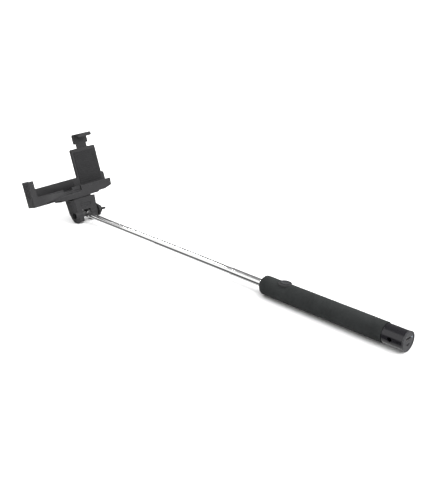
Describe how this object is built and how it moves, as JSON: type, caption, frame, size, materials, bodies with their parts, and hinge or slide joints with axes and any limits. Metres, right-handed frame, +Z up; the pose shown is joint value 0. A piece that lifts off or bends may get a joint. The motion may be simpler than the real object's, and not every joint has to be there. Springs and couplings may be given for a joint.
{
  "type": "selfie stick",
  "caption": "Telescopic selfie stick with foam grip, shutter button and end-cap charging port, and a tilting, swivelling head with a sprung phone clamp.",
  "frame": {"origin": "on the surface the stick lies on, under the middle of the whole object's box", "axes": "+Y along the pole from handle to head, +Z up, +X to the right seen from the handle"},
  "size_m": [0.1084, 0.472, 0.0986],
  "materials": {
    "tube_steel": "bright drawn stainless tube",
    "clamp_plastic": "fine-grained black ABS",
    "liner_plastic": "plain black plastic",
    "foam": "closed-cell foam sleeve",
    "gloss_black": "polished black",
    "plate_grey": "satin dark grey",
    "button_grey": "satin, lightly dished",
    "pad_rubber": "soft black rubber",
    "bright_steel": "plated steel",
    "dark_steel": "blackened steel",
    "brass": "turned brass",
    "nylon": "black nylon",
    "board_green": "solder-resist green",
    "part_grey": "moulded component body",
    "cell_wrap": "foil-wrapped cell",
    "wire_red": "insulated lead",
    "lamp": "clear lens"
  },
  "bodies": {
    "handle": {"outer_tube": "tube_steel", "front_ferrule": "clamp_plastic", "core_tube": "liner_plastic", "foam_grip": "foam", "button_frame": "clamp_plastic", "button_board": "board_green", "tact_switch": "part_grey", "signal_wires": "wire_red", "rear_plug": "liner_plastic", "end_cap": "gloss_black", "end_plate": "plate_grey", "main_board": "board_green", "battery": "cell_wrap", "io_board": "board_green", "usb_socket": "bright_steel", "slide_switch": "part_grey", "status_led": "lamp"},
    "shutter": {"shutter_button": "button_grey"},
    "power": {"switch_knob": "clamp_plastic"},
    "section_5": {"section_5_tube": "tube_steel"},
    "section_4": {"section_4_tube": "tube_steel"},
    "section_3": {"section_3_tube": "tube_steel"},
    "section_2": {"section_2_tube": "tube_steel"},
    "section_1": {"section_1_tube": "tube_steel"},
    "head": {"head_block": "clamp_plastic", "spacer_bushes": "nylon", "tripod_stud": "bright_steel", "friction_pad": "pad_rubber", "hex_nut": "dark_steel", "bolt_washer": "dark_steel"},
    "knob": {"clamp_bolt": "dark_steel", "wing_knob": "clamp_plastic"},
    "clamp": {"holder_body": "clamp_plastic", "tripod_insert": "brass", "back_cover": "clamp_plastic", "cover_screws": "bright_steel", "arm_springs": "bright_steel", "body_floor_pad": "pad_rubber", "back_pad": "pad_rubber"},
    "slider": {"side_slider": "clamp_plastic", "slider_floor_pad": "pad_rubber", "stop_pad": "pad_rubber"},
    "arm": {"clamp_arm": "clamp_plastic", "hook_pad": "pad_rubber"}
  },
  "joints": [
    {"name": "section_5_slide", "type": "slide", "parent": "handle", "child": "section_5", "axis": [0, 1, 0], "range_m": [0, 0.1108]},
    {"name": "section_4_slide", "type": "slide", "parent": "section_5", "child": "section_4", "axis": [0, 1, 0], "range_m": [0, 0.1108]},
    {"name": "section_3_slide", "type": "slide", "parent": "section_4", "child": "section_3", "axis": [0, 1, 0], "range_m": [-0.037, 0.0738]},
    {"name": "section_2_slide", "type": "slide", "parent": "section_3", "child": "section_2", "axis": [0, 1, 0], "range_m": [-0.1108, 0]},
    {"name": "section_1_slide", "type": "slide", "parent": "section_2", "child": "section_1", "axis": [0, 1, 0], "range_m": [-0.1108, 0]},
    {"name": "head_tilt", "type": "hinge", "parent": "section_1", "child": "head", "pos_m": [0.0092, 0.19877, 0.00915], "axis": [1, 0, 0], "range_deg": [-150, 8]},
    {"name": "knob_turn", "type": "hinge", "parent": "head", "child": "knob", "pos_m": [0.0092, 0.19877, 0.00915], "axis": [1, 0, 0], "range_deg": [0, 270]},
    {"name": "clamp_swivel", "type": "hinge", "parent": "head", "child": "clamp", "pos_m": [0.0092, 0.20347, 0.00915], "axis": [0, 0.2756, 0.9613], "range_deg": [-90, 90]},
    {"name": "slider_slide", "type": "slide", "parent": "clamp", "child": "slider", "axis": [-1, 0, 0], "range_m": [0, 0.02]},
    {"name": "arm_slide", "type": "slide", "parent": "clamp", "child": "arm", "axis": [0, 0.2756, 0.9613], "range_m": [0, 0.022], "stiffness_N_per_m": 120, "springref_m": -0.01, "deforming": ["arm_springs"]},
    {"name": "shutter_press", "type": "slide", "parent": "handle", "child": "shutter", "axis": [0, 0, -1], "range_m": [0, 0.0005], "stiffness_N_per_m": 600, "springref_m": -0.0005},
    {"name": "power_slide", "type": "slide", "parent": "handle", "child": "power", "axis": [1, 0, 0], "range_m": [0, 0.0016]}
  ]
}
